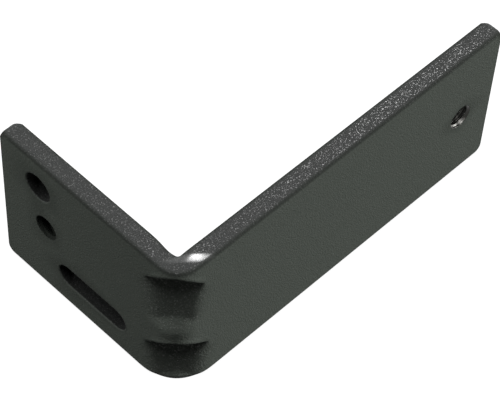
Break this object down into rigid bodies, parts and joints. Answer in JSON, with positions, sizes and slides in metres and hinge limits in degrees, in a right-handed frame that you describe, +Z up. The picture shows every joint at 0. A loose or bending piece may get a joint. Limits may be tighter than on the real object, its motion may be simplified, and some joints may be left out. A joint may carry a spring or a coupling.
{
  "type": "spacer bracket",
  "caption": "Right-angled flat bar bracket with two pressed stiffening beads across the fold, a clearance hole, a slot and a threaded hole in each leg.",
  "frame": {"origin": "bottom centre of the box around the bracket, which stands on the long edge of its bar", "axes": "+X runs along the long leg away from the fold, +Y along the short leg away from the fold, +Z up across the bar"},
  "size_m": [0.095, 0.052, 0.04],
  "materials": {
    "powder_coat": "dark grey fine-textured powder coat with a metallic sparkle"
  },
  "bodies": {
    "root": {"bracket": "powder_coat"}
  },
  "joints": []
}
